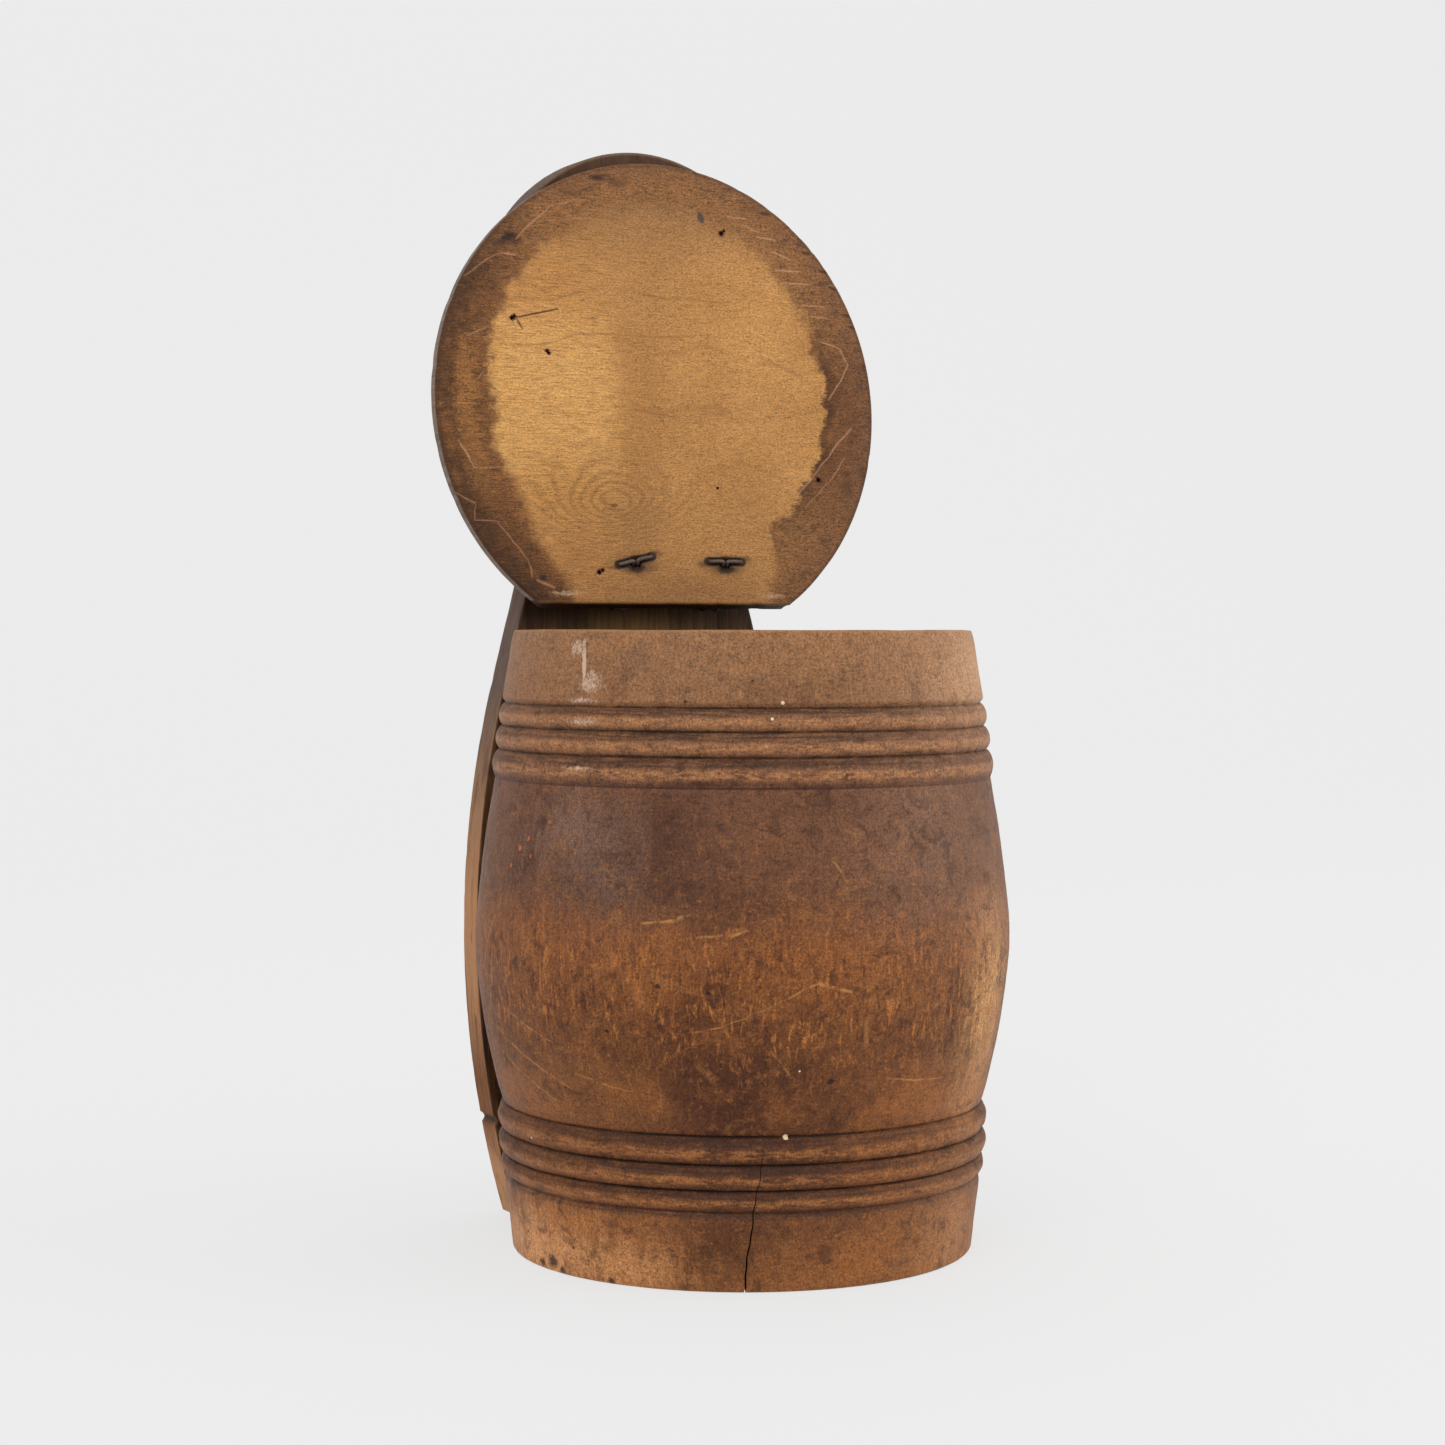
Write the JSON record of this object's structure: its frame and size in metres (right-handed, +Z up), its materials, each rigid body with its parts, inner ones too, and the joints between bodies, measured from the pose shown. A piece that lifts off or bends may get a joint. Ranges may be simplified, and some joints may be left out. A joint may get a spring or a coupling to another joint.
{
  "type": "lidded wall keg",
  "caption": "Turned wooden keg with a hinged round lid and a shaped back board that stands or hangs on a wall, for salt or other dry kitchen stores.",
  "frame": {"origin": "centre of the keg's base, on the floor plane", "axes": "+Z up along the keg's axis, +Y towards the wall behind the back board, +X to the viewer's right when facing the keg"},
  "size_m": [0.15, 0.1495, 0.3153],
  "materials": {
    "shell_wood": "dark worn patina, waxed by handling",
    "bottom_wood": "dry unfinished wood",
    "board_wood": "dark worn patina",
    "lid_wood": "bare ochre wood with a dark stained border",
    "hinge_iron": "dark rusted wire",
    "nail_iron": "dark rusted iron"
  },
  "bodies": {
    "keg": {"keg_body": "shell_wood", "bottom_disc": "bottom_wood", "back_board": "board_wood", "board_nail_upper_left": "nail_iron", "board_nail_upper_right": "nail_iron", "board_nail_lower_left": "nail_iron", "board_nail_lower_right": "nail_iron", "board_cotter_left": "hinge_iron", "board_cotter_right": "hinge_iron"},
    "lid": {"lid": "lid_wood", "lid_cotter_left": "hinge_iron", "lid_cotter_right": "hinge_iron"}
  },
  "joints": [
    {"name": "lid_hinge", "type": "hinge", "parent": "keg", "child": "lid", "pos_m": [0, 0.05575, 0.1805], "axis": [1, 0, 0], "range_deg": [0, 93.8]}
  ]
}
